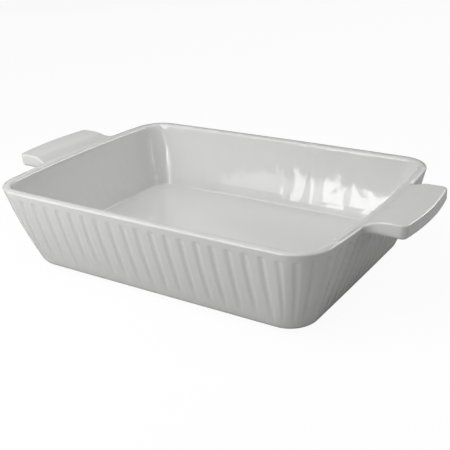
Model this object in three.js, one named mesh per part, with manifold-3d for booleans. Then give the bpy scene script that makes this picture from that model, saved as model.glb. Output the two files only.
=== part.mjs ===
// Rectangular stoneware baking dish with fluted walls and two tab handles.
// Millimetres, +Z up, X along the length, origin on the table under the middle of the dish.
import * as THREE from 'three';
import { mergeVertices } from 'three/addons/utils/BufferGeometryUtils.js';
import Module from 'manifold-3d';

// Foot and height
const FOOT_HEIGHT = 1.5;
const FOOT_WIDTH = 6;
const FOOT_INSET = 6.5;
const BODY_HEIGHT = 68.3;
const RIM_HEIGHT = 5;

// Outline at the base, where the walls start
const BASE_LENGTH = 249.5;
const BASE_WIDTH = 173.3;
const BASE_CORNER = 20.9;

// Outline at the rim, across the corners, with sides that bow outward
const RIM_LENGTH = 283.3;
const RIM_WIDTH = 210.1;
const RIM_CORNER = 22.3;
const END_BOW = 7.2;
const SIDE_BOW = 1.6;
const WALL_BELLY = 1.8;

// Wall and rim section
const WALL = 9;
const RIM_OUTER_ROUND = 4;
const RIM_INNER_ROUND = 1.5;
const BASE_EDGE = 5;
const COVE = 5;
const FLOOR_THICKNESS = 10;
const FLOOR_RECESS = 3;
const INNER_CORNER_MIN = 3;

// Flutes pressed into the outside of the walls
const FLUTE_PITCH = 12.65;
const FLUTE_WIDTH = 10.4;
const FLUTE_DEPTH = 1.6;
const FLUTE_BAND = 5.2;
const FLUTE_FADE = 11;

// Tab handles
const HANDLE_REACH = 358.9;
const HANDLE_WIDTH = 81.9;
const HANDLE_THICKNESS = 10.9;
const HANDLE_RISE = 4.2;
const HANDLE_RAMP = 14;
const HANDLE_TOP_EDGE = 2;
const HANDLE_UNDER_EDGE = 3.5;
const HANDLE_CORNER = 5;
const HANDLE_BOW = 2.9;
const NECK_FILLET = 8;
const NECK_START = 0.4;
const SEAT_GAP = 0.3;

// Fineness of the facets
const SIDE_STEPS = 8;
const CORNER_STEPS = 7;
const ROUND_STEPS = 4;
const WALL_STEPS = 5;
const FLUTE_SIDES = 26;
const FLUTE_CAP_STEPS = 4;
const NECK_STEPS = 6;
const TAB_STEPS = 2;
const TAB_ACROSS = 4;
const PLAN_SAMPLES = 40;

const wasm = await Module();
wasm.setup();

const BODY_BASE = FOOT_HEIGHT;
const RIM_TOP = BODY_BASE + BODY_HEIGHT;
const RIM_SEAM = RIM_TOP - RIM_HEIGHT;
const FLOOR_UNDERSIDE = BODY_BASE + FLOOR_RECESS;
const FLOOR_TOP = FLOOR_UNDERSIDE + FLOOR_THICKNESS;
const SPAN_COUNT = 8;
const QUARTER = Math.PI / 2;

const { clamp, lerp, smoothstep } = THREE.MathUtils;

// Half sizes and corner radius of the outside at height z
function outsideAt(z) {
  const k = clamp((z - BODY_BASE) / BODY_HEIGHT, 0, 1);
  const belly = 4 * WALL_BELLY * k * (1 - k);
  return {
    k,
    a: lerp(BASE_LENGTH, RIM_LENGTH, k) / 2 + belly,
    b: lerp(BASE_WIDTH, RIM_WIDTH, k) / 2 + belly,
    r: lerp(BASE_CORNER, RIM_CORNER, k) + belly,
  };
}

// Point on the outline, span 0 front, 1 front right corner, and on anticlockwise to 7 front left
function planPoint(span, t, z, inset) {
  const { k, a, b, r } = outsideAt(z);
  const corner = Math.max(r - inset, INNER_CORNER_MIN);
  const cx = a - inset - corner;
  const cy = b - inset - corner;
  const quarter = Math.floor(span / 2);
  const angle = QUARTER * (quarter - 1 + (span % 2) * t);
  const along = span % 2 ? 1 : t;
  const starts = [[-cx, -cy], [cx, -cy], [cx, cy], [-cx, cy]];
  const [x0, y0] = starts[quarter];
  const [x1, y1] = starts[(quarter + 1) % starts.length];
  const x = lerp(x0, x1, along) + corner * Math.cos(angle);
  const y = lerp(y0, y1, along) + corner * Math.sin(angle);
  const bowX = 1 + (END_BOW * k / a) * (1 - (y / b) ** 2);
  const bowY = 1 + (SIDE_BOW * k / b) * (1 - (x / a) ** 2);
  return new THREE.Vector3(x * bowX, y * bowY, z);
}

function stepsOf(span) {
  return span % 2 ? CORNER_STEPS : SIDE_STEPS;
}

// Stations (span, t) of one span, with both of its ends
function stationsOf(span) {
  const steps = stepsOf(span);
  return Array.from({ length: steps + 1 }, (_, i) => [span, i / steps]);
}

// Stations all round, each once
function stationsAround() {
  return Array.from({ length: SPAN_COUNT }, (_, span) => stationsOf(span).slice(0, -1)).flat();
}

// Quarter round from one angle to another, as section points [inset, z]
function roundPoints(inset, z, radius, from, to) {
  return Array.from({ length: ROUND_STEPS + 1 }, (_, i) => {
    const angle = lerp(from, to, i / ROUND_STEPS);
    return [inset + radius * Math.cos(angle), z + radius * Math.sin(angle)];
  });
}

// Section of a profile at a station; a third value gives the height whose outline the point keeps
function sectionAt([span, t], profile) {
  return profile.map(([inset, z, planZ = z]) => planPoint(span, t, planZ, inset).setZ(z));
}

// Closed skin through loops of equal length; without caps the loops go round in a ring
function loft(loops, caps) {
  const size = loops[0].length;
  const positions = loops.flat().flatMap((p) => [p.x, p.y, p.z]);
  const index = [];
  const pairs = caps ? loops.length - 1 : loops.length;
  for (let i = 0; i < pairs; i += 1) {
    const here = i * size;
    const next = ((i + 1) % loops.length) * size;
    for (let j = 0; j < size; j += 1) {
      const k = (j + 1) % size;
      index.push(here + j, next + j, next + k, here + j, next + k, here + k);
    }
  }
  if (caps) {
    const last = (loops.length - 1) * size;
    for (const [p, q, r] of caps) {
      index.push(p, q, r, last + r, last + q, last + p);
    }
  }
  const geometry = new THREE.BufferGeometry();
  geometry.setAttribute('position', new THREE.Float32BufferAttribute(positions, 3));
  geometry.setIndex(index);
  return facingOut(geometry);
}

// Triangles that close a loop given by flat points
function capOf(points) {
  const contour = points.map(([x, y]) => new THREE.Vector2(x, y));
  const triangles = THREE.ShapeUtils.triangulateShape(contour, []);
  return THREE.ShapeUtils.isClockWise(contour) ? triangles.map(([p, q, r]) => [p, r, q]) : triangles;
}

// Turns every triangle round when the skin encloses a negative volume
function facingOut(geometry) {
  const position = geometry.attributes.position;
  const index = geometry.index.array;
  const [p, q, r] = [new THREE.Vector3(), new THREE.Vector3(), new THREE.Vector3()];
  let volume = 0;
  for (let i = 0; i < index.length; i += 3) {
    p.fromBufferAttribute(position, index[i]);
    q.fromBufferAttribute(position, index[i + 1]);
    r.fromBufferAttribute(position, index[i + 2]);
    volume += p.dot(q.cross(r));
  }
  if (volume < 0) {
    for (let i = 0; i < index.length; i += 3) {
      [index[i + 1], index[i + 2]] = [index[i + 2], index[i + 1]];
    }
  }
  return geometry;
}

// Solid for cutting, from a closed geometry
function solidOf(geometry) {
  const bare = geometry.clone();
  bare.deleteAttribute('normal');
  bare.deleteAttribute('uv');
  const merged = mergeVertices(bare);
  const index = merged.index.array;
  const kept = [];
  for (let i = 0; i < index.length; i += 3) {
    const [p, q, r] = [index[i], index[i + 1], index[i + 2]];
    if (p !== q && q !== r && r !== p) {
      kept.push(p, q, r);
    }
  }
  const vertProperties = new Float32Array(merged.attributes.position.array);
  const triVerts = new Uint32Array(kept);
  return new wasm.Manifold(new wasm.Mesh({ numProp: 3, vertProperties, triVerts }));
}

function geometryOf(solid) {
  const mesh = solid.getMesh();
  const geometry = new THREE.BufferGeometry();
  geometry.setAttribute('position', new THREE.Float32BufferAttribute(mesh.vertProperties, 3));
  geometry.setIndex(Array.from(mesh.triVerts));
  return geometry;
}

// Wall section: base edge, leaning outside, rim seam, inside, cove, floor edge
const floorEdge = WALL + COVE;
const wallProfile = [
  ...roundPoints(BASE_EDGE, BODY_BASE + BASE_EDGE, BASE_EDGE, -QUARTER, -Math.PI),
  ...Array.from({ length: WALL_STEPS }, (_, i) => [
    0,
    lerp(BODY_BASE + BASE_EDGE, RIM_SEAM, (i + 1) / WALL_STEPS),
  ]),
  ...Array.from({ length: WALL_STEPS }, (_, i) => [
    WALL,
    lerp(RIM_SEAM, FLOOR_TOP + COVE, i / WALL_STEPS),
  ]),
  ...roundPoints(floorEdge, FLOOR_TOP + COVE, COVE, -Math.PI, -QUARTER),
  [floorEdge, FLOOR_UNDERSIDE, FLOOR_TOP],
  [floorEdge, BODY_BASE, FLOOR_TOP],
];

const rimProfile = [
  [0, RIM_SEAM],
  ...roundPoints(RIM_OUTER_ROUND, RIM_TOP - RIM_OUTER_ROUND, RIM_OUTER_ROUND, Math.PI, QUARTER),
  ...roundPoints(WALL - RIM_INNER_ROUND, RIM_TOP - RIM_INNER_ROUND, RIM_INNER_ROUND, QUARTER, 0),
  [WALL, RIM_SEAM],
];

const footProfile = [
  [FOOT_INSET, 0],
  [FOOT_INSET, BODY_BASE],
  [FOOT_INSET + FOOT_WIDTH, BODY_BASE],
  [FOOT_INSET + FOOT_WIDTH, 0],
];

function ring(profile) {
  return loft(stationsAround().map((station) => sectionAt(station, profile)));
}

function wallSpan(span) {
  const loops = stationsOf(span).map((station) => sectionAt(station, wallProfile));
  return loft(loops, capOf(wallProfile));
}

function floorSlab() {
  const edge = stationsAround().map(([span, t]) => planPoint(span, t, FLOOR_TOP, floorEdge));
  const loops = [FLOOR_UNDERSIDE, FLOOR_TOP].map((z) => edge.map((p) => p.clone().setZ(z)));
  return loft(loops, capOf(loops[0].map((p) => [p.x, p.y])));
}

// Stations of the flutes, spread evenly round the outline
function fluteStations(z) {
  const samples = [];
  for (let span = 0; span < SPAN_COUNT; span += 1) {
    for (let i = 0; i < PLAN_SAMPLES; i += 1) {
      samples.push([span, i / PLAN_SAMPLES]);
    }
  }
  const points = samples.map(([span, t]) => planPoint(span, t, z, 0));
  const lengths = points.map((p, i) => p.distanceTo(points[(i + 1) % points.length]));
  const perimeter = lengths.reduce((sum, length) => sum + length, 0);
  const count = Math.round(perimeter / FLUTE_PITCH);
  const stations = [];
  let reached = 0;
  samples.forEach(([span, t], i) => {
    const next = reached + lengths[i];
    while (stations.length < count && ((stations.length + 0.5) * perimeter) / count < next) {
      const part = (((stations.length + 0.5) * perimeter) / count - reached) / lengths[i];
      stations.push([span, t + part / PLAN_SAMPLES]);
    }
    reached = next;
  });
  return stations;
}

// Round-ended bar whose axis leans out of the wall, so that its flute fades out downward
function fluteCutter([span, t]) {
  const radius = ((FLUTE_WIDTH / 2) ** 2 + FLUTE_DEPTH ** 2) / (2 * FLUTE_DEPTH);
  const topZ = RIM_TOP - FLUTE_BAND - FLUTE_WIDTH / 2;
  const step = 1 / PLAN_SAMPLES;
  const before = planPoint(span, t - step, topZ, 0);
  const outward = planPoint(span, t + step, topZ, 0).sub(before).normalize();
  outward.set(outward.y, -outward.x, 0);
  const top = planPoint(span, t, topZ, 0).addScaledVector(outward, radius - FLUTE_DEPTH);
  const bottom = planPoint(span, t, FLUTE_FADE, 0).addScaledVector(outward, radius);
  const axis = top.clone().sub(bottom);
  const length = axis.length();
  axis.normalize();
  const side = new THREE.Vector3().crossVectors(axis, outward).normalize();
  const face = new THREE.Vector3().crossVectors(side, axis);
  const place = new THREE.Matrix4().makeBasis(side, axis, face);
  place.setPosition(top.add(bottom).multiplyScalar(0.5));
  const bar = new THREE.CapsuleGeometry(radius, length, FLUTE_CAP_STEPS, FLUTE_SIDES);
  return solidOf(bar.applyMatrix4(place));
}

// Everything inside the outside skin and the outer round of the rim, grown by the seat gap
function handleSeat() {
  const low = RIM_SEAM - HANDLE_THICKNESS;
  const high = RIM_TOP + HANDLE_THICKNESS;
  const round = RIM_OUTER_ROUND;
  const shoulder = roundPoints(round, RIM_TOP - round, round + SEAT_GAP, Math.PI, QUARTER);
  const levels = [[-SEAT_GAP, low], [-SEAT_GAP, RIM_SEAM], ...shoulder, [round, high]];
  const loops = levels.map(([inset, z]) => stationsAround().map(([span, t]) => planPoint(span, t, z, inset)));
  return solidOf(loft(loops, capOf(loops[0].map((p) => [p.x, p.y]))));
}

const endFace = RIM_LENGTH / 2 + END_BOW;
const tabLength = HANDLE_REACH / 2 - endFace;
const tabHalf = HANDLE_WIDTH / 2;

// Distance from a point of the handle's plan to its edge: tab with round corners, hollow necks
function edgeDistance(out, y) {
  const across = Math.abs(y) - (tabHalf - HANDLE_CORNER);
  const along = out - (tabLength - HANDLE_CORNER);
  const past = Math.hypot(Math.max(across, 0), Math.max(along, 0));
  const tab = HANDLE_CORNER - past - Math.min(Math.max(across, along), 0);
  const neck = Math.hypot(out - NECK_FILLET, Math.abs(y) - tabHalf - NECK_FILLET) - NECK_FILLET;
  return Math.max(out < NECK_FILLET ? neck : tab, 0);
}

// How far a round edge falls away at a distance from the edge
function edgeDrop(radius, distance) {
  const inward = Math.max(radius - distance, 0);
  return radius - Math.sqrt(radius ** 2 - inward ** 2);
}

// Flat tab with hollow necks, lofted outward from the rim to its bowed outer edge
function handleTab() {
  const steps = [{ out: -WALL, half: tabHalf + NECK_FILLET * (1 - Math.sin(NECK_START)) }];
  for (let i = 0; i <= NECK_STEPS; i += 1) {
    const angle = lerp(NECK_START, QUARTER, i / NECK_STEPS);
    const half = tabHalf + NECK_FILLET * (1 - Math.sin(angle));
    steps.push({ out: NECK_FILLET * (1 - Math.cos(angle)), half });
  }
  for (let i = 1; i <= TAB_STEPS; i += 1) {
    steps.push({ out: lerp(NECK_FILLET, tabLength - HANDLE_CORNER, i / TAB_STEPS), half: tabHalf });
  }
  for (let i = 1; i <= 2 * ROUND_STEPS; i += 1) {
    const angle = (QUARTER * i) / (2 * ROUND_STEPS);
    const out = tabLength - HANDLE_CORNER * (1 - Math.sin(angle));
    steps.push({ out, half: tabHalf - HANDLE_CORNER * (1 - Math.cos(angle)) });
  }
  const loops = steps.map(({ out, half }) => handleLoop(out, half));
  return loft(loops, stripCap(loops[0].length));
}

// Triangles between the upper and lower halves of a loop, point against point
function stripCap(size) {
  return Array.from({ length: size / 2 - 1 }, (_, i) => [
    [i, i + 1, size - 2 - i],
    [i, size - 2 - i, size - 1 - i],
  ]).flat();
}

// Section of the handle across Y: over the top from +Y to -Y, then back along the flat underside
function handleLoop(out, half) {
  const top = RIM_TOP + HANDLE_RISE * smoothstep(out, -WALL, HANDLE_RAMP);
  const underside = RIM_TOP + HANDLE_RISE - HANDLE_THICKNESS;
  const inner = half - HANDLE_UNDER_EDGE;
  const edge = Array.from({ length: ROUND_STEPS }, (_, i) => lerp(half, inner, (i / ROUND_STEPS) ** 2));
  const middle = Array.from({ length: TAB_ACROSS + 1 }, (_, i) => lerp(inner, -inner, i / TAB_ACROSS));
  const across = [...edge, ...middle, ...edge.map((y) => -y).reverse()];
  const upper = across.map((y) => [y, top - edgeDrop(HANDLE_TOP_EDGE, edgeDistance(out, y))]);
  const lower = across.map((y) => [-y, underside + edgeDrop(HANDLE_UNDER_EDGE, edgeDistance(out, y))]);
  return [...upper, ...lower].map(([y, z]) => {
    const rootBow = END_BOW * (y / (RIM_WIDTH / 2)) ** 2;
    const endBow = HANDLE_BOW * (y / tabHalf) ** 2;
    const bow = lerp(rootBow, endBow, clamp(out / tabLength, 0, 1));
    return new THREE.Vector3(endFace + out - bow, y, z);
  });
}

const glaze = new THREE.MeshStandardMaterial({ color: 0xd9d9d8, roughness: 0.18, metalness: 0 });
const bareClay = new THREE.MeshStandardMaterial({ color: 0xcfc8bc, roughness: 0.85, metalness: 0 });

const dish = new THREE.Group();

function addPiece(name, geometry, material) {
  const mesh = new THREE.Mesh(geometry, material);
  mesh.name = name;
  dish.add(mesh);
  return mesh;
}

addPiece('floor_slab', floorSlab(), glaze);
addPiece('foot_ring', ring(footProfile), bareClay);
addPiece('rim', ring(rimProfile), glaze);

// Walls and corners, each fluted by the bars that reach it
const spanNames = [
  'front_wall', 'front_right_corner', 'right_wall', 'back_right_corner',
  'back_wall', 'back_left_corner', 'left_wall', 'front_left_corner',
];
const flutes = fluteStations((FLUTE_FADE + RIM_SEAM) / 2).map((station) => ({
  span: station[0],
  bar: fluteCutter(station),
}));
spanNames.forEach((name, span) => {
  const near = [span, (span + 1) % SPAN_COUNT, (span + SPAN_COUNT - 1) % SPAN_COUNT];
  const bars = flutes.filter((flute) => near.includes(flute.span));
  const wall = bars.reduce((solid, flute) => solid.subtract(flute.bar), solidOf(wallSpan(span)));
  addPiece(name, geometryOf(wall), glaze);
});

// Handles, seated on the outer shoulder of the rim at both ends
const handle = geometryOf(solidOf(handleTab()).subtract(handleSeat()));
addPiece('right_handle', handle, glaze);
addPiece('left_handle', handle.clone().rotateZ(Math.PI), glaze);

export default dish;
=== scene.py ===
"""Studio scene of a rectangular stoneware baking dish with fluted walls and two tab handles."""

import logging
import math
from dataclasses import dataclass, field
from enum import Enum
from typing import Any, Sequence

import bmesh
import bpy
import numpy as np
from mathutils import Matrix, Vector


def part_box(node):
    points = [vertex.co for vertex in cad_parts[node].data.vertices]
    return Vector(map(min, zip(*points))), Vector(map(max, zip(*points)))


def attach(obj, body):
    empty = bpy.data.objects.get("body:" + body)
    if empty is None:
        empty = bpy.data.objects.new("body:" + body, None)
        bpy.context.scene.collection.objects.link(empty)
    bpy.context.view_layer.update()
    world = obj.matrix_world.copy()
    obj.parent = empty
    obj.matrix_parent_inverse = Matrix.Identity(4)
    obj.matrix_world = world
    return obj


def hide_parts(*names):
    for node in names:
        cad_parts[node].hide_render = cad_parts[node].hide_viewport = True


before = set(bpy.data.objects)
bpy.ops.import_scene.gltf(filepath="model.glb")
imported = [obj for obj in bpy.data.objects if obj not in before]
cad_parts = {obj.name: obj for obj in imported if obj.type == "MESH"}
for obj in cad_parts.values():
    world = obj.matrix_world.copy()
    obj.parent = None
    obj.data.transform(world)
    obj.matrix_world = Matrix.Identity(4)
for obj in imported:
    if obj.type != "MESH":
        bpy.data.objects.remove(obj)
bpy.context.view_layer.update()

LOG = logging.getLogger("baking_dish")
MM = 0.001
QUARTER = math.pi / 2
UP = Vector((0.0, 0.0, 1.0))
WHITE = (1.0, 1.0, 1.0, 1.0)
BLACK = (0.0, 0.0, 0.0, 1.0)

# The plan has four sides, each of two spans: a straight and the corner after it.
SIDES = 4
SPANS = 2 * SIDES
CORNER_X = np.array([-1, 1, 1, -1])
CORNER_Y = np.array([-1, -1, 1, 1])

# Attributes of the glaze: painted shade in the flutes, darker where they are deeper, and how strongly the
# glaze has run.
PAINTED_FLUTE_SHADE = "painted_flute_shade"
GLAZE_RUN = "glaze_run"

Number = float | np.ndarray
Loop = np.ndarray
Marks = dict[str, list[np.ndarray]]
Colour = tuple[float, float, float, float]


class Slot(Enum):
    """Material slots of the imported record."""

    GLAZE = "glaze"
    BARE_CLAY = "bare_clay"


class Face(Enum):
    """Faces of a handle."""

    UNDER = "under"
    UPPER = "upper"


class Ends(Enum):
    """How the first and last loop of a skin are finished, with the fill of the circle it starts from."""

    FILLED = "NGON"
    BRIDGED = "NOTHING"


def lerp(start: Any, end: Any, part: Any) -> Any:
    """Goes in a straight line from start, at part 0, to end, at part 1."""
    return start + (end - start) * part


def steps(start: float, end: float, count: int) -> list[float]:
    """Lists count even steps from just past start up to end."""
    return [lerp(start, end, (i + 1) / count) for i in range(count)]


def smoothstep(value: Number, low: float, high: float) -> Number:
    """Eases from 0 at low to 1 at high."""
    part = np.clip((value - low) / (high - low), 0.0, 1.0)
    return part * part * (3.0 - 2.0 * part)


def arch(part: Number) -> Number:
    """Rises from 0 to 1 at half way and falls back to 0."""
    return 4.0 * part * (1.0 - part)


def outward_normals(run: np.ndarray) -> np.ndarray:
    """Normals that point out of a plan, from directions that go round it anticlockwise."""
    run = run / np.linalg.norm(run, axis=1)[:, None]
    return np.column_stack((run[:, 1], -run[:, 0]))


def follow(path: np.ndarray, reached: np.ndarray, wanted: np.ndarray) -> np.ndarray:
    """Finds the points of a plan path at given distances along it.

    Args:
        path: Points of the path.
        reached: Distance along the path at each of its points.
        wanted: Distances to find.

    Returns:
        One plan point per wanted distance.
    """
    return np.column_stack([np.interp(wanted, reached, path[:, axis]) for axis in (0, 1)])


def direction(azimuth: float, elevation: float) -> Vector:
    """Points from the dish to a place in the studio.

    Args:
        azimuth: Turn from the front towards +X, in degrees.
        elevation: Rise from the table, in degrees.

    Returns:
        A vector of length 1.
    """
    az, el = math.radians(azimuth), math.radians(elevation)
    return Vector((math.sin(az) * math.cos(el), -math.cos(az) * math.cos(el), math.sin(el)))


@dataclass
class DishOutline:
    """Plan of the dish: a bowed, rounded rectangle that widens from the base to the rim.

    Lengths are in metres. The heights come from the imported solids.
    """

    foot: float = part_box("front_wall")[0].z
    rim_top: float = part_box("rim")[1].z
    base_half_length: float = 124.75 * MM
    base_half_width: float = 86.65 * MM
    rim_half_length: float = 141.65 * MM
    rim_half_width: float = 105.05 * MM
    base_corner: float = 20.9 * MM
    rim_corner: float = 22.3 * MM
    inner_corner_min: float = 3.0 * MM
    end_bow: float = 7.2 * MM
    side_bow: float = 1.6 * MM
    belly: float = 1.8 * MM
    column_spacing: float = 1.05 * MM
    plan_samples: int = 40
    spans: np.ndarray = field(init=False)
    parts: np.ndarray = field(init=False)

    def __post_init__(self) -> None:
        """Spreads the columns of the mesh evenly round the outline."""
        samples = np.arange(SPANS * self.plan_samples) / self.plan_samples
        self.spans, self.parts = np.floor(samples), samples % 1.0
        ring = self.ring((self.foot + self.rim_top) / 2, 0.0)
        lengths = np.linalg.norm(np.roll(ring, -1, axis=0) - ring, axis=1)
        reached = np.concatenate(([0.0], np.cumsum(lengths)))
        count = SIDES * round(reached[-1] / self.column_spacing / SIDES)
        wanted = np.arange(count) * reached[-1] / count
        place = np.interp(wanted, reached, np.append(samples, SPANS))
        self.spans, self.parts = np.floor(place), place % 1.0

    @property
    def count(self) -> int:
        """Number of columns round the outline."""
        return len(self.spans)

    @property
    def sides(self) -> np.ndarray:
        """Number of the side that each column belongs to, with the corner after it."""
        return np.floor(self.spans / 2).astype(int)

    @property
    def turning(self) -> np.ndarray:
        """True for each column that lies in a corner."""
        return self.spans % 2 == 1

    def half_sizes(self, z: Number) -> tuple[Number, Number, Number]:
        """Works out the outside skin at a height.

        Args:
            z: Height, one value or one per column.

        Returns:
            Share of the height from 0 to 1, half length and half width.
        """
        k = np.clip((z - self.foot) / (self.rim_top - self.foot), 0.0, 1.0)
        swell = self.belly * arch(k)
        half_length = lerp(self.base_half_length, self.rim_half_length, k) + swell
        half_width = lerp(self.base_half_width, self.rim_half_width, k) + swell
        return k, half_length, half_width

    def corner_at(self, z: Number, inset: Number) -> Number:
        """Works out the corner radius at a height.

        Args:
            z: Height, one value or one per column.
            inset: Distance inward from the outside skin.

        Returns:
            The radius, never less than the smallest inner one.
        """
        k = self.half_sizes(z)[0]
        outside = lerp(self.base_corner, self.rim_corner, k) + self.belly * arch(k)
        return np.maximum(outside - inset, self.inner_corner_min)

    def ring(self, z: Number, inset: Number) -> Loop:
        """Lays the columns round the outline at a height, moved inward from the outside skin.

        Args:
            z: Height, one value or one per column.
            inset: Distance inward, one value or one per column.

        Returns:
            Array of one point per column.
        """
        k, a, b = self.half_sizes(z)
        corner = self.corner_at(z, inset)
        side, following = self.sides, (self.sides + 1) % SIDES
        angle = QUARTER * (side - 1 + self.turning * self.parts)
        along = np.where(self.turning, 1.0, self.parts)
        x = (a - inset - corner) * lerp(CORNER_X[side], CORNER_X[following], along) + corner * np.cos(angle)
        y = (b - inset - corner) * lerp(CORNER_Y[side], CORNER_Y[following], along) + corner * np.sin(angle)
        bow_x = 1.0 + (self.end_bow * k / a) * (1.0 - (y / b) ** 2)
        bow_y = 1.0 + (self.side_bow * k / b) * (1.0 - (x / a) ** 2)
        return np.column_stack((x * bow_x, y * bow_y, np.broadcast_to(z, x.shape)))


@dataclass
class Flutes:
    """Shallow hollows pressed into the outside of the walls, round at the top and fading downward."""

    outline: DishOutline
    pitch: float = 12.59 * MM
    fill: float = 0.46
    start: float = 0.18
    depth: float = 0.74 * MM
    roundness: float = 1.15
    plain_band: float = 5.2 * MM
    fade_start: float = 6.0 * MM
    fade_end: float = 24.0 * MM
    quarter_count: int = field(init=False)

    def __post_init__(self) -> None:
        """Fits a whole number of flutes from the middle of a long wall to the middle of an end."""
        self.quarter_count = round(sum(self.runs_at(self.outline.rim_top - self.plain_band)) / self.pitch)

    def runs_at(self, z: float) -> tuple[float, float, float]:
        """Measures a quarter of the outline at a height.

        Args:
            z: Height.

        Returns:
            Half the straight of a long wall, a corner's arc and half the straight of an end.
        """
        _, a, b = self.outline.half_sizes(z)
        corner = self.outline.corner_at(z, 0.0)
        return a - corner, QUARTER * corner, b - corner

    def phase_at(self, z: float) -> tuple[np.ndarray, np.ndarray]:
        """Counts the flutes round the outline at a height.

        They run upright on the straight walls, so they close up in the corners towards the base.

        Args:
            z: Height.

        Returns:
            Flutes passed at every column, and their pitch there as a share of the full one.
        """
        outline = self.outline
        side, turning = outline.sides, outline.turning
        long_side, arc, end = self.runs_at(z)
        x, y, _ = outline.ring(z, 0.0).T
        in_corner = self.quarter_count - (long_side + end) / self.pitch
        straight = np.choose(side, (x, y, -x, -y)) / self.pitch
        corner = np.where(side % 2 == 0, long_side, end) / self.pitch + in_corner * outline.parts
        phase = side * self.quarter_count + np.where(turning, corner, straight) + self.start
        return phase, np.where(turning, min(arc / in_corner / self.pitch, 1.0), 1.0)

    def depth_at(self, z: float) -> np.ndarray:
        """Works out the depth of the hollows at a height.

        Args:
            z: Height.

        Returns:
            Depth at every column.
        """
        phase, share = self.phase_at(z)
        across = 2.0 * (phase % 1.0 - 0.5) / self.fill
        half = self.fill * self.pitch / 2
        past = max(z - (self.outline.rim_top - self.plain_band - half), 0.0) / half
        bowl = np.clip(1.0 - across**2 - past**2, 0.0, 1.0) ** self.roundness
        return self.depth * smoothstep(z, self.fade_start, self.fade_end) * share * bowl


@dataclass(frozen=True)
class HandleRow:
    """One row of the handles' skin.

    Spread is how far out from the rim it lies, outward and turn how far round the edge of its face it is,
    and sink how far down the hollow root.
    """

    face: Face
    spread: float
    outward: float = 0.0
    turn: float = 0.0
    sink: float = 0.0


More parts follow.
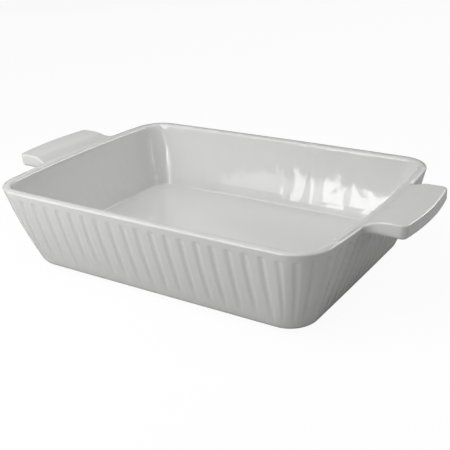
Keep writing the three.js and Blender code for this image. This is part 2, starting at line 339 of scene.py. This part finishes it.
@dataclass
class TabHandle:
    """Plan and height of the flat tab handles, which grow out of the rim with hollow necks.

    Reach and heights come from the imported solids.
    """

    outline: DishOutline
    reach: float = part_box("right_handle")[1].x
    top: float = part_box("right_handle")[1].z
    underside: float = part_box("right_handle")[0].z
    width: float = 81.9 * MM
    neck_fillet: float = 8.0 * MM
    outer_corner: float = 5.0 * MM
    outer_bow: float = 2.9 * MM
    ramp_start: float = -6.0 * MM
    ramp_end: float = 14.0 * MM
    top_edge: float = 1.4 * MM
    under_edge: float = 3.5 * MM
    root_fillet: float = 2.0 * MM
    rim_round: float = 1.6 * MM
    grow: float = 5.0 * MM
    tangent_step: float = 0.5 * MM
    arc_steps: int = 16
    strip_steps: int = 5
    edge_steps: int = 6
    root_rows: tuple[HandleRow, ...] = (
        HandleRow(Face.UNDER, 0.02, sink=0.55),
        HandleRow(Face.UNDER, 0.06, sink=0.2),
    )
    plan: np.ndarray = field(init=False)
    normal: np.ndarray = field(init=False)
    weight: np.ndarray = field(init=False)

    def __post_init__(self) -> None:
        """Lays the plan of both handles over the columns."""
        face = self.outline.ring(self.outline.rim_top - self.rim_round, 0.0)[:, :2]
        self.plan = face.copy()
        self.normal = outward_normals(np.roll(face, -1, axis=0) - np.roll(face, 1, axis=0))
        for side in (1.0, -1.0):
            self.lay_tab(face, side)
        self.weight = smoothstep(self.beyond_rim(self.plan), 0.0, self.grow)

    @property
    def wall_end(self) -> float:
        """Height where the plain wall hands over to the rows of rim and handles."""
        return self.underside - self.root_fillet

    def face_x(self, y: Number) -> Number:
        """Distance of the rim's end face from the middle, at each y."""
        outline = self.outline
        return outline.rim_half_length + outline.end_bow * (1.0 - (y / outline.rim_half_width) ** 2)

    def beyond_rim(self, plan: np.ndarray) -> np.ndarray:
        """How far plan points lie outside the rim's end faces."""
        return np.abs(plan[:, 0]) - self.face_x(plan[:, 1])

    def top_at(self, plan: np.ndarray) -> np.ndarray:
        """Height of the upper face over plan points."""
        ramp = smoothstep(self.beyond_rim(plan), self.ramp_start, self.ramp_end)
        return lerp(self.outline.rim_top, self.top, ramp)

    def half_path(self) -> np.ndarray:
        """Draws the edge of the right handle from its front neck to the middle of its outer end.

        Returns:
            Plan points of the edge.
        """
        half, fillet, corner = self.width / 2, self.neck_fillet, self.outer_corner
        neck = half + fillet
        root, end = self.face_x(neck), self.reach - self.outer_bow
        turn = np.linspace(0.0, QUARTER, self.arc_steps)
        hollow = np.column_stack((root + fillet * (1 - np.cos(turn)), -neck + fillet * np.sin(turn)))
        round_end = np.column_stack((end - corner * (1 - np.sin(turn)), -half + corner * (1 - np.cos(turn))))
        y = np.linspace(-half + corner, 0.0, self.arc_steps)[1:]
        outer = np.column_stack((end + self.outer_bow * (1 - (y / (half - corner)) ** 2), y))
        return np.vstack((hollow, round_end, outer))

    def lay_tab(self, face: np.ndarray, side: float) -> None:
        """Moves the plan of the columns at one end out to the edge of the handle.

        Args:
            face: Plan points of the rim's outer face.
            side: 1 for the right end, -1 for the left.
        """
        half_path = self.half_path()
        path = np.vstack((half_path, half_path[-2::-1] * (1.0, -1.0)))
        reached = np.concatenate(([0.0], np.cumsum(np.linalg.norm(np.diff(path, axis=0), axis=1))))
        neck = self.width / 2 + self.neck_fillet
        chosen = (face[:, 0] * side > 0) & (np.abs(face[:, 1]) < neck)
        wanted = (face[chosen, 1] + neck) / (2 * neck) * reached[-1]
        ahead = follow(path, reached, wanted + self.tangent_step)
        behind = follow(path, reached, wanted - self.tangent_step)
        self.plan[chosen] = follow(path, reached, wanted) * (side, 1.0)
        self.normal[chosen] = outward_normals(ahead - behind) * (side, 1.0)

    def rows(self) -> list[HandleRow]:
        """Lists the rows from the wall along the underside, round the edge and back over the top.

        Returns:
            The rows in order.
        """
        rows = list(self.root_rows)
        rows += [HandleRow(Face.UNDER, part) for part in steps(0.0, 1.0, self.strip_steps)]
        for angle in steps(0.0, QUARTER, self.edge_steps):
            rows.append(HandleRow(Face.UNDER, 1.0, math.sin(angle), 1 - math.cos(angle)))
        for angle in np.linspace(QUARTER, 0.0, self.edge_steps + 1):
            rows.append(HandleRow(Face.UPPER, 1.0, math.sin(angle), 1 - math.cos(angle)))
        rows += [HandleRow(Face.UPPER, part) for part in steps(1.0, 0.0, self.strip_steps)]
        return rows


@dataclass
class DishSection:
    """Section of the dish, as loops from the underside, up the wall, over the rim and down to the floor."""

    outline: DishOutline
    flutes: Flutes
    handle: TabHandle
    underside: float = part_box("floor_slab")[0].z
    floor_top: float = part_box("floor_slab")[1].z
    wall: float = 7.0 * MM
    inner_edge: float = 1.8 * MM
    cove: float = 1.6 * MM
    hollow: float = 1.05 * MM
    base_edge: float = 5.0 * MM
    recess_inset: float = 14.0 * MM
    recess_soft: float = 1.0 * MM
    recess_bend: float = 0.3 * MM
    outer_run: float = 0.25
    floor_run: float = 0.12
    run_rise: float = 8.0 * MM
    round_steps: int = 6
    wall_steps: int = 26
    wall_gather: float = 1.4
    rim_steps: int = 3
    inner_steps: int = 14
    plate_rings: tuple[float, ...] = (0.3, 0.6, 0.85)
    floor_rings: tuple[float, ...] = (0.97, 0.85, 0.6, 0.3)

    def skin(self) -> tuple[list[Loop], Marks]:
        """Lays out the whole skin, from the middle of the underside to the middle of the floor.

        Returns:
            The loops in order, and the painted flute shade and the glaze runs on the points of each.
        """
        base, wall = self.underside_loops(), self.outer_wall_loops()
        rim, inside = self.rim_and_handle_loops(), self.inside_loops()
        bare = np.zeros(self.outline.count)
        outer = np.full(self.outline.count, self.outer_run)
        # Only the outside wall's points carry painted shade in the flutes; the others carry none.
        flute_shades = [bare for _ in base] + [self.flute_shade_on(loop) for loop in wall] + [bare for _ in rim + inside]
        runs = [outer for _ in base + wall + rim] + [self.run_on(loop) for loop in inside]
        return base + wall + rim + inside, {PAINTED_FLUTE_SHADE: flute_shades, GLAZE_RUN: runs}

    def flute_shade_on(self, loop: Loop) -> np.ndarray:
        """Painted shade in the flutes, following their depth, on a loop of the outside wall."""
        return self.flutes.depth_at(loop[0, 2]) / self.flutes.depth

    def run_on(self, loop: Loop) -> np.ndarray:
        """How strongly the glaze has run, on a loop of the inside."""
        steep = smoothstep(loop[:, 2], self.floor_top, self.floor_top + self.run_rise)
        return lerp(self.floor_run, 1.0, steep)

    def underside_loops(self) -> list[Loop]:
        """Shapes the recessed underside, flat foot seat and rounded base edge.

        Returns:
            The loops, outward from the middle.
        """
        ring, foot, edge = self.outline.ring, self.outline.foot, self.base_edge
        seat, soft, bend = self.recess_inset, self.recess_soft, self.recess_bend
        plate = ring(self.underside, seat + 2 * soft)
        places = [
            (self.underside - bend, seat + soft),
            (self.underside - soft, seat + bend),
            (foot + soft, seat),
            (foot + bend, seat - bend),
            (foot, seat - soft),
            (foot, (seat - soft + edge) / 2),
        ]
        for angle in np.linspace(0.0, QUARTER, self.round_steps + 1):
            places.append((foot + edge * (1 - math.cos(angle)), edge * (1 - math.sin(angle))))
        loops = [plate * (part, part, 1.0) for part in self.plate_rings]
        return loops + [plate] + [ring(z, inset) for z, inset in places]

    def outer_wall_loops(self) -> list[Loop]:
        """Shapes the fluted outside, with rows that close up towards the round tops of the flutes.

        Returns:
            The loops, upward.
        """
        start, end = self.outline.foot + self.base_edge, self.handle.wall_end
        parts = [1 - (1 - part) ** self.wall_gather for part in steps(0.0, 1.0, self.wall_steps)]
        return [self.fluted_loop(lerp(start, end, part)) for part in parts]

    def fluted_loop(self, z: float) -> Loop:
        """Loop of the outside wall at a height, with its flutes."""
        return self.outline.ring(z, self.flutes.depth_at(z))

    def plain_rim_loop(self, part: float) -> Loop:
        """Shapes the rim away from the handles.

        Args:
            part: 0 at the wall, 1 at the flat of the rim.

        Returns:
            One loop.
        """
        radius = self.handle.rim_round
        low, high = self.handle.wall_end, self.outline.rim_top - radius
        run = part * (high - low + QUARTER * radius)
        if run <= high - low:
            return self.fluted_loop(low + run)
        angle = (run - (high - low)) / radius
        return self.outline.ring(high + radius * math.sin(angle), radius * (1 - math.cos(angle)))

    def handle_plan(self, row: HandleRow, level: float, inset: float, radius: float) -> np.ndarray:
        """Lays one row of the handles out in plan.

        Args:
            row: The row.
            level: Height of its root on the rim.
            inset: Distance of its root inward from the outside skin.
            radius: Radius of the edge of its face.

        Returns:
            One plan point per column.
        """
        root = self.outline.ring(level, inset)[:, :2]
        edge = self.handle.plan - self.handle.normal * (radius * (1.0 - row.outward))
        return lerp(root, edge, row.spread)

    def handle_loop(self, row: HandleRow) -> Loop:
        """Shapes one row of the handles' skin.

        Args:
            row: The row.

        Returns:
            One loop, with a point at every column.
        """
        handle = self.handle
        if row.face is Face.UPPER:
            plan = self.handle_plan(row, self.outline.rim_top, handle.rim_round, handle.top_edge)
            return np.column_stack((plan, handle.top_at(plan) - handle.top_edge * row.turn))
        plan = self.handle_plan(row, handle.underside, 0.0, handle.under_edge)
        lift = handle.under_edge * row.turn - handle.root_fillet * row.sink
        return np.column_stack((plan, np.full(len(plan), handle.underside + lift)))

    def rim_and_handle_loops(self) -> list[Loop]:
        """Shapes the rim where the handles' weight is 0, and the handles where it is 1.

        Returns:
            The loops, from the wall to the flat of the rim.
        """
        rows = self.handle.rows()
        weight = self.handle.weight[:, None]
        plain = [self.plain_rim_loop(part) for part in steps(0.0, 1.0, len(rows))]
        return [lerp(loop, self.handle_loop(row), weight) for loop, row in zip(plain, rows)]

    def inside_loops(self) -> list[Loop]:
        """Shapes the flat and inner edge of the rim, the smooth inside wall, the cove and the floor.

        Returns:
            The loops, downward and in to the middle.
        """
        radius, cove, rim_top = self.inner_edge, self.cove, self.outline.rim_top
        edge_end, cove_top = rim_top - radius, self.floor_top + cove
        flat = steps(self.handle.rim_round, self.wall - radius, self.rim_steps)
        places = [(rim_top, inset) for inset in flat]
        for angle in steps(0.0, QUARTER, self.round_steps):
            places.append((edge_end + radius * math.cos(angle), self.wall - radius * (1 - math.sin(angle))))
        for part in steps(0.0, 1.0, self.inner_steps):
            places.append((lerp(edge_end, cove_top, part), self.wall - self.hollow * arch(part)))
        for angle in steps(0.0, QUARTER, self.round_steps):
            places.append((cove_top - cove * math.sin(angle), self.wall + cove * (1 - math.cos(angle))))
        loops = [self.outline.ring(z, inset) for z, inset in places]
        return loops + [loops[-1] * (part, part, 1.0) for part in self.floor_rings]


@dataclass
class LoopModeller:
    """Models a skin in edit mode by extruding one edge loop after another."""

    name: str
    ends: Ends

    def build(self, loops: Sequence[Loop], marks: Marks) -> bpy.types.Object:
        """Extrudes a circle through the loops.

        Args:
            loops: Points of each loop, all of one length.
            marks: Values to store on the points of each loop, by attribute name.

        Returns:
            The finished object, at the origin.
        """
        bpy.ops.object.select_all(action="DESELECT")
        bpy.ops.mesh.primitive_circle_add(vertices=len(loops[0]), radius=1.0, fill_type=self.ends.value)
        piece = bpy.context.object
        piece.name = piece.data.name = self.name
        bpy.ops.object.mode_set(mode="EDIT")
        bpy.ops.mesh.select_mode(type="EDGE")
        shape = bmesh.from_edit_mesh(piece.data)
        layers = shape.verts.layers.float
        for name in marks:
            layers.new(name)
        current = sorted(shape.verts, key=lambda v: math.atan2(v.co.y, v.co.x) % math.tau)
        for i, loop in enumerate(loops):
            if i > 0:
                current = self.extrude(current)
            self.place(current, loop)
            for name, values in marks.items():
                self.mark(current, layers[name], values[i])
        self.close(shape)
        bpy.ops.mesh.select_all(action="SELECT")
        bpy.ops.mesh.normals_make_consistent(inside=False)
        bpy.ops.object.mode_set(mode="OBJECT")
        bpy.ops.object.shade_smooth()
        return piece

    def place(self, points: Sequence[bmesh.types.BMVert], loop: Loop) -> None:
        """Moves the points of the current loop to their places."""
        for point, place in zip(points, loop):
            point.co = place

    def mark(self, points: Sequence[bmesh.types.BMVert], layer: Any, values: np.ndarray) -> None:
        """Stores the values of one attribute on the points of the current loop."""
        for point, value in zip(points, values):
            point[layer] = value

    def extrude(self, current: Sequence[bmesh.types.BMVert]) -> list[bmesh.types.BMVert]:
        """Extrudes the selected loop.

        Args:
            current: Points of the selected loop.

        Returns:
            Points of the new loop, in the same order.
        """
        bpy.ops.mesh.extrude_edges_move(TRANSFORM_OT_translate={"value": (0.0, 0.0, 0.0)})
        return [
            next(edge.other_vert(point) for edge in point.link_edges if edge.other_vert(point).select)
            for point in current
        ]

    def close(self, shape: bmesh.types.BMesh) -> None:
        """Fills the last loop, or joins the two open ends of a ring.

        Args:
            shape: The skin, with its last loop selected.
        """
        if self.ends is Ends.FILLED:
            bpy.ops.mesh.edge_face_add()
            return
        bpy.ops.mesh.select_all(action="DESELECT")
        for edge in shape.edges:
            edge.select = edge.is_boundary
        bpy.ops.mesh.bridge_edge_loops()


@dataclass
class Value:
    """A shader socket whose arithmetic adds Math nodes."""

    graph: "ShaderGraph"
    socket: bpy.types.NodeSocket | None

    def math(self, operation: str, other: Any) -> "Value":
        """Adds one Math node."""
        return self.graph.node("ShaderNodeMath", {"operation": operation}, {0: self, 1: other})

    def __add__(self, other: Any) -> "Value":
        """Adds."""
        return self.math("ADD", other)

    __radd__ = __add__

    def __mul__(self, other: Any) -> "Value":
        """Multiplies."""
        return self.math("MULTIPLY", other)

    __rmul__ = __mul__


class ShaderGraph:
    """Builds the nodes of one material or world."""

    # Numbers of the Mix node's colour sockets, whose names repeat for every type of data.
    mix_first = 6
    mix_second = 7
    mix_result = 2

    def __init__(self, owner: bpy.types.Material | bpy.types.World) -> None:
        """Starts an empty node tree.

        Args:
            owner: Material or world that the tree belongs to.
        """
        owner.use_nodes = True
        self.tree = owner.node_tree
        self.tree.nodes.clear()

    def node(self, kind: str, settings: dict[str, Any], inputs: dict[Any, Any], output: Any = 0) -> Value:
        """Adds a node, sets it up and links it.

        Args:
            kind: Blender's node type.
            settings: Properties, or a list of ramp stops under "stops".
            inputs: Values or links by socket name or number.
            output: Socket to return, by name or number.

        Returns:
            The chosen output.
        """
        node = self.tree.nodes.new(kind)
        for key, setting in settings.items():
            if key == "stops":
                self.set_stops(node.color_ramp, setting)
            else:
                setattr(node, key, setting)
        for key, value in inputs.items():
            if isinstance(value, Value):
                self.tree.links.new(value.socket, node.inputs[key])
            else:
                node.inputs[key].default_value = value
        return Value(self, node.outputs[output] if len(node.outputs) else None)

    def set_stops(self, ramp: bpy.types.ColorRamp, stops: Sequence[tuple[float, Colour]]) -> None:
        """Gives a colour ramp its stops.

        Args:
            ramp: The ramp of a new node.
            stops: Position and colour of each stop, in order.
        """
        while len(ramp.elements) < len(stops):
            ramp.elements.new(1.0)
        for element, (position, colour) in zip(ramp.elements, stops):
            element.position = position
            element.color = colour

    def object_coords(self) -> Value:
        """Object coordinates of the piece."""
        return self.node("ShaderNodeTexCoord", {}, {}, "Object")

    def attribute(self, name: str) -> Value:
        """Number that the piece stores on its points."""
        return self.node("ShaderNodeAttribute", {"attribute_name": name}, {}, "Fac")

    def camera_ray(self) -> Value:
        """1 for what the camera sees itself, 0 for light and reflections."""
        return self.node("ShaderNodeLightPath", {}, {}, "Is Camera Ray")

    def noise(self, coords: Value, scale: float, detail: float) -> Value:
        """Noise value over coordinates."""
        inputs = {"Vector": coords, "Scale": scale, "Detail": detail}
        return self.node("ShaderNodeTexNoise", {}, inputs, "Fac")

    def mix_colour(self, factor: Value, first: Any, second: Any) -> Value:
        """Mixes two colours."""
        inputs = {"Factor": factor, self.mix_first: first, self.mix_second: second}
        return self.node("ShaderNodeMix", {"data_type": "RGBA"}, inputs, self.mix_result)

    def bump(self, height: Value, distance: float, strength: float) -> Value:
        """Normal that is bumped by a height."""
        inputs = {"Height": height, "Distance": distance, "Strength": strength}
        return self.node("ShaderNodeBump", {}, inputs, "Normal")

    def principled(self, inputs: dict[str, Any]) -> None:
        """Ends a material with one Principled shader."""
        shader = self.node("ShaderNodeBsdfPrincipled", {}, inputs)
        self.node("ShaderNodeOutputMaterial", {}, {"Surface": shader})


@dataclass(frozen=True)
class StonewareGlaze:
    """Gloss pale grey-white glaze, clouded in tone, with painted shade in the flutes, and rippled by runs on
    the walls.
    """

    colour: Colour = (0.66, 0.66, 0.655, 1.0)
    thin: Colour = (0.70, 0.70, 0.693, 1.0)
    # Darker glaze colour painted into the flutes as shade.
    shade_in_flutes: Colour = (0.65, 0.65, 0.646, 1.0)
    cloud_scale: float = 9.0
    cloud_detail: float = 2.0
    cloud_tone: float = 0.5
    cloud_roughness: float = 0.04
    roughness: float = 0.03
    ior: float = 1.5
    coat: float = 0.35
    coat_roughness: float = 0.04
    ripple_scale: float = 55.0
    ripple_detail: float = 1.5
    ripple_height: float = 0.0014
    ripple_strength: float = 1.0
    run_place: tuple[float, float, float] = (0.41, 0.0, 0.0)
    run_stretch: tuple[float, float, float] = (1.0, 1.0, 0.35)

    def material(self) -> bpy.types.Material:
        """Mixes the glaze.

        Returns:
            The node material.
        """
        material = bpy.data.materials.new("stoneware_glaze")
        graph = ShaderGraph(material)
        coords = graph.object_coords()
        cloud = graph.noise(coords, self.cloud_scale, self.cloud_detail)
        tone = graph.mix_colour(cloud * self.cloud_tone, self.colour, self.thin)
        mapping = {"Vector": coords, "Location": self.run_place, "Scale": self.run_stretch}
        runs = graph.node("ShaderNodeMapping", {}, mapping)
        ripple = graph.noise(runs, self.ripple_scale, self.ripple_detail) * graph.attribute(GLAZE_RUN)
        graph.principled({
            # The base colour darkens towards the painted flute shade where the flutes are deep.
            "Base Color": graph.mix_colour(graph.attribute(PAINTED_FLUTE_SHADE), tone, self.shade_in_flutes),
            "Roughness": self.roughness + cloud * self.cloud_roughness,
            "IOR": self.ior,
            "Coat Weight": self.coat,
            "Coat Roughness": self.coat_roughness,
            "Normal": graph.bump(ripple, self.ripple_height, self.ripple_strength),
        })
        return material


@dataclass(frozen=True)
class BareClay:
    """Unglazed, wiped stoneware of the foot, with fine grog specks."""

    colour: Colour = (0.62, 0.57, 0.50, 1.0)
    speck: Colour = (0.42, 0.36, 0.29, 1.0)
    speck_scale: float = 540.0
    speck_detail: float = 1.0
    speck_start: float = 0.58
    speck_full: float = 0.66
    grain_scale: float = 900.0
    grain_detail: float = 3.0
    grain_height: float = 0.00012
    grain_strength: float = 0.5
    roughness: float = 0.78
    grain_roughness: float = 0.15

    def material(self) -> bpy.types.Material:
        """Mixes the clay.

        Returns:
            The node material.
        """
        material = bpy.data.materials.new("bare_clay")
        graph = ShaderGraph(material)
        coords = graph.object_coords()
        grain = graph.noise(coords, self.grain_scale, self.grain_detail)
        stops = [(self.speck_start, BLACK), (self.speck_full, WHITE)]
        grog = graph.noise(coords, self.speck_scale, self.speck_detail)
        specks = graph.node("ShaderNodeValToRGB", {"stops": stops}, {"Fac": grog})
        graph.principled({
            "Base Color": graph.mix_colour(specks, self.colour, self.speck),
            "Roughness": self.roughness + grain * self.grain_roughness,
            "Normal": graph.bump(grain, self.grain_height, self.grain_strength),
        })
        return material


@dataclass
class GlazedDish:
    """The glazed dish: floor, fluted walls, rim and handles in one fired skin."""

    section: DishSection
    finish: StonewareGlaze
    nodes: tuple[str, ...] = (
        "floor_slab", "rim", "left_handle", "right_handle",
        "front_wall", "right_wall", "back_wall", "left_wall",
        "front_left_corner", "front_right_corner", "back_right_corner", "back_left_corner",
    )

    def build(self) -> bpy.types.Object:
        """Models, dresses and registers the dish.

        Returns:
            The finished piece.
        """
        loops, marks = self.section.skin()
        piece = LoopModeller("glazed_dish", Ends.FILLED).build(loops, marks)
        piece.data.materials.append(self.finish.material())
        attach(piece, "root")
        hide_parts(*self.nodes)
        return piece


@dataclass
class BareFoot:
    """The unglazed ring under the walls that the dish stands on, whose height comes from the solids."""

    outline: DishOutline
    finish: BareClay
    height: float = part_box("foot_ring")[1].z
    inset: float = 6.5 * MM
    width: float = 6.0 * MM
    soft: float = 0.5 * MM
    bend: float = 0.15 * MM
    seam: float = 0.1 * MM

    def loops(self) -> list[Loop]:
        """Shapes the ring's section from the top of its outside, under it, to the top of its inside.

        Returns:
            The loops in order.
        """
        half_section = [
            (self.height, self.soft),
            (self.height - self.seam, 0.0),
            (self.soft, 0.0),
            (self.bend, self.bend),
            (0.0, self.soft),
        ]
        places = [(z, self.inset + inward) for z, inward in half_section]
        places += [(z, self.inset + self.width - inward) for z, inward in reversed(half_section)]
        loops = []
        for z, inset in places:
            loop = self.outline.ring(self.outline.foot, inset)
            loop[:, 2] = z
            loops.append(loop)
        return loops

    def build(self) -> bpy.types.Object:
        """Models, dresses and registers the ring.

        Returns:
            The finished piece.
        """
        piece = LoopModeller("bare_foot", Ends.BRIDGED).build(self.loops(), marks={})
        piece.data.materials.append(self.finish.material())
        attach(piece, "root")
        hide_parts("foot_ring")
        return piece


@dataclass
class PhotoCamera:
    """Camera at the photograph's place, turn and lens, for a square image. Angles are in degrees."""

    place_mm: tuple[float, float, float] = (339.6, -487.48, 278.807)
    azimuth: float = 33.7816
    elevation: float = 23.893
    roll: float = -2.716
    focal_pixels: float = 788.552
    centre_pixels: tuple[float, float] = (6.488, 10.092)
    image_pixels: int = 450
    sensor_mm: float = 36.0
    clip_start: float = 0.01
    clip_end: float = 50.0

    def turn(self) -> Matrix:
        """Works out how the camera is turned.

        Returns:
            Rotation with the camera's right, up and back as columns.
        """
        back = direction(self.azimuth, self.elevation)
        level = UP.cross(back).normalized()
        upright = back.cross(level)
        roll = math.radians(self.roll)
        right = level * math.cos(roll) + upright * math.sin(roll)
        up = upright * math.cos(roll) - level * math.sin(roll)
        return Matrix((right, up, back)).transposed().to_4x4()

    def build(self) -> bpy.types.Object:
        """Makes it the scene's camera.

        Returns:
            The camera.
        """
        data = bpy.data.cameras.new("camera")
        data.sensor_fit = "HORIZONTAL"
        data.sensor_width = self.sensor_mm
        data.lens = self.sensor_mm * self.focal_pixels / self.image_pixels
        data.shift_x = -self.centre_pixels[0] / self.image_pixels
        data.shift_y = self.centre_pixels[1] / self.image_pixels
        data.clip_start, data.clip_end = self.clip_start, self.clip_end
        camera = bpy.data.objects.new("camera", data)
        camera.matrix_world = Matrix.Translation(Vector(self.place_mm) * MM) @ self.turn()
        bpy.context.scene.collection.objects.link(camera)
        bpy.context.scene.camera = camera
        return camera


@dataclass(frozen=True)
class Softbox:
    """A rectangular studio light that faces the dish.

    Azimuth turns from the front towards +X and elevation rises from the table, both in degrees.
    Width and height are the angles that the light fills as seen from the dish. A light that is
    mirrored_only shows in the glaze and sheds no other light.
    """

    name: str
    azimuth: float
    elevation: float
    width: float
    height: float
    radiance: float
    distance: float = 1.5
    mirrored_only: bool = False
    aim: tuple[float, float, float] = (0.0, 0.0, 0.05)

    def length(self, angle: float) -> float:
        """Length that fills an angle at the light's distance."""
        return 2 * self.distance * math.tan(math.radians(angle / 2))

    def build(self) -> bpy.types.Object:
        """Adds the light, with the power that gives its radiance.

        Returns:
            The light.
        """
        outward = direction(self.azimuth, self.elevation)
        data = bpy.data.lights.new(self.name, "AREA")
        data.shape = "RECTANGLE"
        data.size = self.length(self.width)
        data.size_y = self.length(self.height)
        data.energy = self.radiance * math.pi * data.size * data.size_y
        light = bpy.data.objects.new(self.name, data)
        light.rotation_euler = outward.to_track_quat("Z", "Y").to_euler()
        light.location = outward * self.distance + Vector(self.aim)
        light.visible_diffuse = not self.mirrored_only
        bpy.context.scene.collection.objects.link(light)
        return light


@dataclass
class Studio:
    """Pale floor, white surround and soft lights."""

    floor_size: float = 12.0
    floor_shade: float = 0.52
    floor_shown: float = 0.95
    floor_lift: float = 0.94
    ambient: float = 0.03
    softboxes: tuple[Softbox, ...] = (
        Softbox("front_top", -20.0, 56.0, 56.0, 36.0, 1.6),
        Softbox("near_key", -32.0, 28.0, 56.0, 38.0, 2.1, 0.45),
        Softbox("near_over", -30.0, 80.0, 40.0, 40.0, 1.6, 0.7),
        Softbox("right_back", 120.0, 35.0, 28.0, 60.0, 1.6),
        Softbox("left_back", -146.0, 18.0, 60.0, 30.0, 0.4),
        Softbox("window", -20.8, 12.5, 11.5, 17.0, 5.0),
        Softbox("front_slit", -4.0, 17.0, 8.0, 12.0, 6.5),
        Softbox("side_card", 86.0, 17.0, 8.0, 16.0, 3.0),
        Softbox("back_strip", -124.0, 40.0, 20.0, 8.0, 3.0),
        Softbox("back_fill", 160.0, 14.0, 32.0, 20.0, 1.3),
        Softbox("back_card", 172.0, 27.0, 16.0, 8.0, 3.0),
        Softbox("edge_card", 145.0, 27.0, 20.0, 24.0, 6.0, mirrored_only=True),
    )

    def build(self) -> None:
        """Sets up the world, floor, lights and view."""
        bpy.context.scene.view_settings.view_transform = "Standard"
        self.build_world()
        self.build_floor()
        for softbox in self.softboxes:
            softbox.build()

    def build_world(self) -> None:
        """White to the camera, much dimmer as a light."""
        world = bpy.data.worlds.new("studio")
        bpy.context.scene.world = world
        graph = ShaderGraph(world)
        strength = lerp(self.ambient, 1.0, graph.camera_ray())
        surround = graph.node("ShaderNodeBackground", {}, {"Color": WHITE, "Strength": strength})
        graph.node("ShaderNodeOutputWorld", {}, {"Surface": surround})

    def build_floor(self) -> None:
        """Pale floor that keeps the dish's shadow and fades to white."""
        bpy.ops.object.select_all(action="DESELECT")
        bpy.ops.mesh.primitive_plane_add(size=self.floor_size)
        floor = bpy.context.object
        floor.name = "studio_floor"
        material = bpy.data.materials.new("studio_floor")
        graph = ShaderGraph(material)
        seen = graph.camera_ray()
        shade = lerp(self.floor_shade, self.floor_shown, seen)
        paper = graph.node("ShaderNodeBsdfDiffuse", {}, {"Color": shade})
        glow = graph.node("ShaderNodeEmission", {}, {"Color": WHITE, "Strength": 1.0})
        mixed = graph.node("ShaderNodeMixShader", {}, {0: seen * self.floor_lift, 1: paper, 2: glow})
        graph.node("ShaderNodeOutputMaterial", {}, {"Surface": mixed})
        floor.data.materials.append(material)


def main() -> None:
    """Builds the dish, its foot, the studio and the camera."""
    logging.basicConfig(level=logging.INFO)
    bpy.ops.object.select_all(action="DESELECT")
    outline = DishOutline()
    section = DishSection(outline, Flutes(outline), TabHandle(outline))
    for maker in (GlazedDish(section, StonewareGlaze()), BareFoot(outline, BareClay())):
        piece = maker.build()
        LOG.info("%s: %d faces", piece.name, len(piece.data.polygons))
    Studio().build()
    PhotoCamera().build()


if __name__ == "__main__":
    main()
